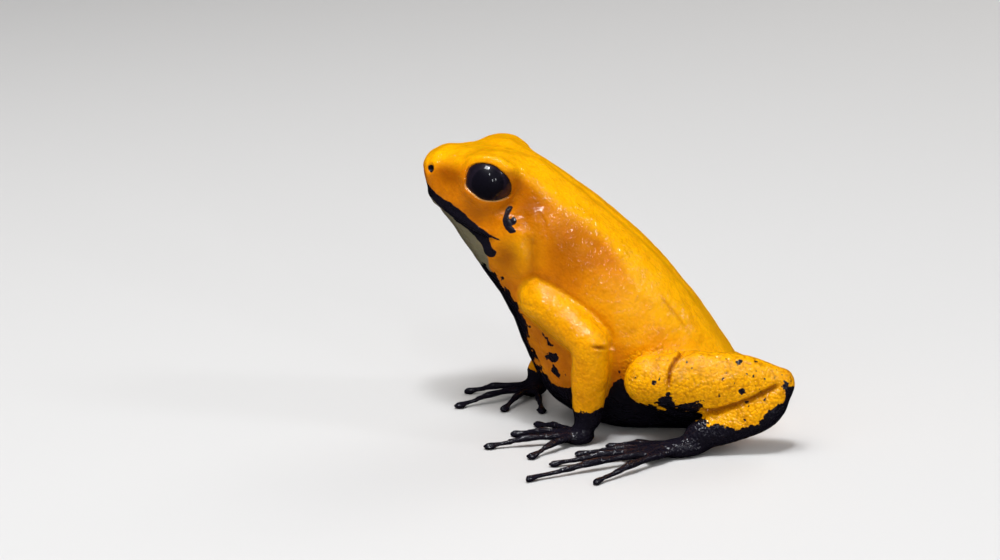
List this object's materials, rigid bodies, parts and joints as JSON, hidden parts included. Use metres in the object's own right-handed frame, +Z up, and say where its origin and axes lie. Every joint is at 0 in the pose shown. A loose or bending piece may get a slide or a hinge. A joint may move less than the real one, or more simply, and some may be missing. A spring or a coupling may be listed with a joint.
{
  "type": "golden poison frog",
  "caption": "Life-size still model of a golden poison frog sitting upright, yellow above with a black belly, lips, hands and feet.",
  "frame": {"origin": "on the floor under the middle of the seat, in the plane of symmetry of the trunk", "axes": "+Z up, the snout toward -X, the frog's left side toward -Y"},
  "size_m": [0.0435, 0.0534, 0.0327],
  "materials": {
    "yellow_skin": "wet, glossy, bright orange-yellow skin, finely granular on the legs",
    "black_skin": "wet, glossy black skin",
    "eye": "clear and mirror smooth over a very dark brown iris"
  },
  "bodies": {
    "root": {"head": "yellow_skin", "torso": "yellow_skin", "eye_left": "eye", "eye_right": "eye", "upper_arm_left": "yellow_skin", "upper_arm_right": "yellow_skin", "forearm_left": "yellow_skin", "forearm_right": "yellow_skin", "hand_left": "black_skin", "hand_right": "black_skin", "thigh_left": "yellow_skin", "thigh_right": "yellow_skin", "shank_left": "yellow_skin", "shank_right": "yellow_skin", "tarsus_left": "yellow_skin", "tarsus_right": "yellow_skin", "foot_left": "black_skin", "foot_right": "black_skin"}
  },
  "joints": []
}
